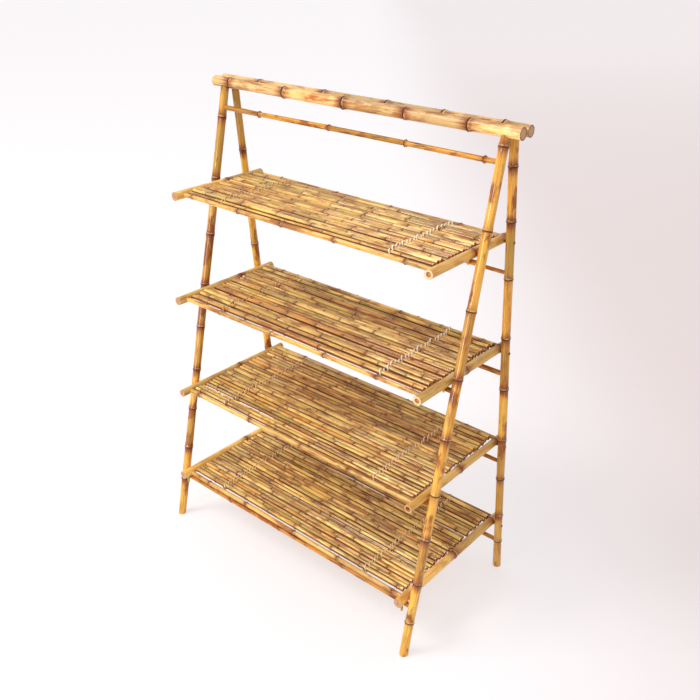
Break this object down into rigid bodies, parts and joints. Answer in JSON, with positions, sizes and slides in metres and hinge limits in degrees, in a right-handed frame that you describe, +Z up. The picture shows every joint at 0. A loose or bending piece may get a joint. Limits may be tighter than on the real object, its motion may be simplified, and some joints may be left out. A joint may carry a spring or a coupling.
{
  "type": "folding ladder shelf",
  "caption": "Folding bamboo ladder shelf: two rung frames hinged between their top rails, with slatted shelves that tilt up on pins as the frames close.",
  "frame": {"origin": "on the floor, under the middle of the opened rack's bounding box", "axes": "+X to the rack's right as seen from the front, -Y to the front, +Z up"},
  "size_m": [0.98, 0.4831, 1.3196],
  "materials": {
    "bamboo_rail": "lacquered bamboo, glossy",
    "bamboo_leg": "lacquered bamboo, glossy",
    "bamboo_rung": "lacquered bamboo, glossy",
    "bamboo_bar": "lacquered bamboo, glossy",
    "bamboo_rod": "lacquered bamboo, glossy",
    "bamboo_slat": "lacquered thin cane, satin",
    "bamboo_peg": "whittled bamboo, matt",
    "hinge_steel": "zinc plated",
    "pin_steel": "dull steel nail"
  },
  "bodies": {
    "rear_frame": {"rear_rail": "bamboo_rail", "rear_leg_left": "bamboo_leg", "rear_leg_right": "bamboo_leg", "rear_rung_1": "bamboo_rung", "rear_rung_2": "bamboo_rung", "rear_rung_3": "bamboo_rung", "rear_rung_4": "bamboo_rung", "left_hinge_rear_leaf": "hinge_steel", "left_hinge_pin": "hinge_steel", "right_hinge_rear_leaf": "hinge_steel", "right_hinge_pin": "hinge_steel"},
    "front_frame": {"front_rail": "bamboo_rail", "front_leg_left": "bamboo_leg", "front_leg_right": "bamboo_leg", "upper_stretcher": "bamboo_rung", "front_rung_1": "bamboo_rung", "front_rung_2": "bamboo_rung", "front_rung_3": "bamboo_rung", "front_rung_4": "bamboo_rung", "left_hinge_front_leaf": "hinge_steel", "right_hinge_front_leaf": "hinge_steel"},
    "shelf_1": {"shelf_1_bar_left": "bamboo_bar", "shelf_1_bar_right": "bamboo_bar", "shelf_1_front_rod": "bamboo_rod", "shelf_1_rear_rod": "bamboo_rod", "shelf_1_slats": "bamboo_slat", "shelf_1_pin_left": "pin_steel", "shelf_1_pin_right": "pin_steel", "shelf_1_peg_left": "bamboo_peg", "shelf_1_peg_right": "bamboo_peg"},
    "shelf_2": {"shelf_2_bar_left": "bamboo_bar", "shelf_2_bar_right": "bamboo_bar", "shelf_2_front_rod": "bamboo_rod", "shelf_2_rear_rod": "bamboo_rod", "shelf_2_slats": "bamboo_slat", "shelf_2_pin_left": "pin_steel", "shelf_2_pin_right": "pin_steel", "shelf_2_peg_left": "bamboo_peg", "shelf_2_peg_right": "bamboo_peg"},
    "shelf_3": {"shelf_3_bar_left": "bamboo_bar", "shelf_3_bar_right": "bamboo_bar", "shelf_3_front_rod": "bamboo_rod", "shelf_3_rear_rod": "bamboo_rod", "shelf_3_slats": "bamboo_slat", "shelf_3_pin_left": "pin_steel", "shelf_3_pin_right": "pin_steel", "shelf_3_peg_left": "bamboo_peg", "shelf_3_peg_right": "bamboo_peg"},
    "shelf_4": {"shelf_4_bar_left": "bamboo_bar", "shelf_4_bar_right": "bamboo_bar", "shelf_4_front_rod": "bamboo_rod", "shelf_4_rear_rod": "bamboo_rod", "shelf_4_slats": "bamboo_slat", "shelf_4_pin_left": "pin_steel", "shelf_4_pin_right": "pin_steel", "shelf_4_peg_left": "bamboo_peg", "shelf_4_peg_right": "bamboo_peg"}
  },
  "joints": [
    {"name": "front_frame_fold", "type": "hinge", "parent": "rear_frame", "child": "front_frame", "pos_m": [0, 0.0886, 1.292], "axis": [1, 0, 0], "range_deg": [0, 17.5]},
    {"name": "shelf_1_tilt", "type": "hinge", "parent": "rear_frame", "child": "shelf_1", "pos_m": [0, 0.12892, 1.037], "axis": [-1, 0, 0], "range_deg": [0, 65]},
    {"name": "shelf_2_tilt", "type": "hinge", "parent": "rear_frame", "child": "shelf_2", "pos_m": [0, 0.1562, 0.735], "axis": [-1, 0, 0], "range_deg": [0, 65]},
    {"name": "shelf_3_tilt", "type": "hinge", "parent": "rear_frame", "child": "shelf_3", "pos_m": [0, 0.18285, 0.44], "axis": [-1, 0, 0], "range_deg": [0, 65]},
    {"name": "shelf_4_tilt", "type": "hinge", "parent": "rear_frame", "child": "shelf_4", "pos_m": [0, 0.20842, 0.157], "axis": [-1, 0, 0], "range_deg": [0, 65]}
  ],
  "couplings": [
    {"joint": "shelf_1_tilt", "follows": "front_frame_fold", "ratio": 3.7},
    {"joint": "shelf_2_tilt", "follows": "front_frame_fold", "ratio": 3.7},
    {"joint": "shelf_3_tilt", "follows": "front_frame_fold", "ratio": 3.7},
    {"joint": "shelf_4_tilt", "follows": "front_frame_fold", "ratio": 3.7}
  ]
}
